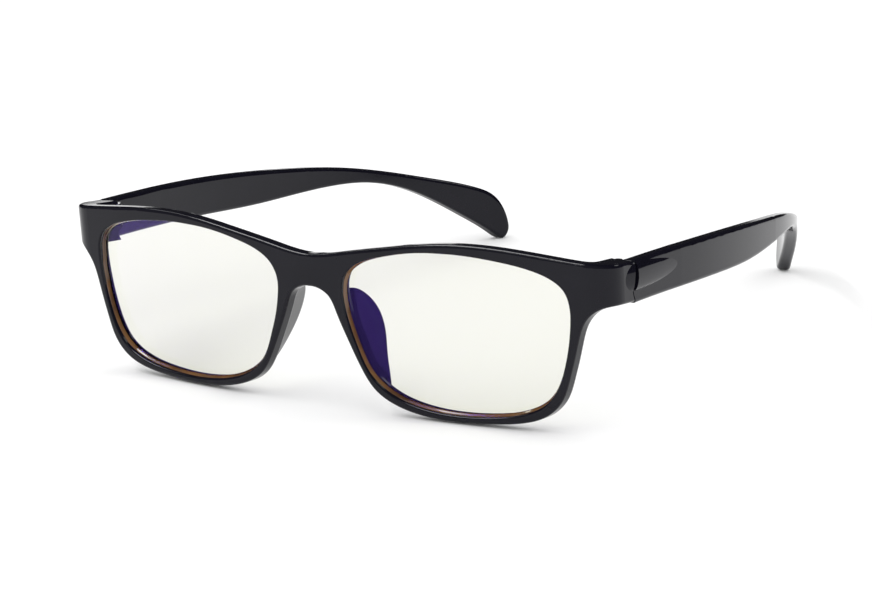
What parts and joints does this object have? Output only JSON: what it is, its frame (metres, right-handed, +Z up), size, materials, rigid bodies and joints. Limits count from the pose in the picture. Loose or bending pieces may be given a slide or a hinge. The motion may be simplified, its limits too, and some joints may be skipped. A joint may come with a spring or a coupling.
{
  "type": "full-rim rectangular glasses with spring hinges",
  "caption": "Full-rim rectangular glasses with pale coated lenses, moulded nose pads and folding temples on sprung hinges that also flex outward.",
  "frame": {"origin": "middle of the object in plan, on the table it stands on with the temples open", "axes": "+X towards the wearer's left, +Y from the front towards the temple tips, +Z up"},
  "size_m": [0.1424, 0.1586, 0.0403],
  "materials": {
    "frame": "polished black",
    "lens": "pale tint with a blue-violet coating",
    "hinge_metal": "plated",
    "screw_metal": "bright",
    "housing_metal": "plated",
    "spring_wire": "drawn wire"
  },
  "bodies": {
    "front": {"front_frame": "frame", "lens_left": "lens", "lens_right": "lens", "hinge_leaf_left": "hinge_metal", "hinge_leaf_right": "hinge_metal", "hinge_screw_left": "screw_metal", "hinge_screw_right": "screw_metal"},
    "slider_left": {"spring_slider_left": "hinge_metal", "rod_stop_left": "housing_metal"},
    "temple_left": {"temple_left": "frame", "spring_housing_left": "housing_metal", "flex_spring_left": "spring_wire"},
    "slider_right": {"spring_slider_right": "hinge_metal", "rod_stop_right": "housing_metal"},
    "temple_right": {"temple_right": "frame", "spring_housing_right": "housing_metal", "flex_spring_right": "spring_wire"}
  },
  "joints": [
    {"name": "fold_left", "type": "hinge", "parent": "front", "child": "slider_left", "pos_m": [0.0659, -0.0599, 0.0332], "axis": [0, 0, 1], "range_deg": [-2.5, 84]},
    {"name": "extend_left", "type": "slide", "parent": "slider_left", "child": "temple_left", "axis": [0, 1, 0], "range_m": [0, 0.0006], "stiffness_N_per_m": 400, "springref_m": -0.002, "deforming": ["flex_spring_left"]},
    {"name": "fold_right", "type": "hinge", "parent": "front", "child": "slider_right", "pos_m": [-0.0659, -0.0599, 0.0332], "axis": [0, 0, -1], "range_deg": [-2.5, 76]},
    {"name": "extend_right", "type": "slide", "parent": "slider_right", "child": "temple_right", "axis": [0, 1, 0], "range_m": [0, 0.0006], "stiffness_N_per_m": 400, "springref_m": -0.002, "deforming": ["flex_spring_right"]}
  ]
}
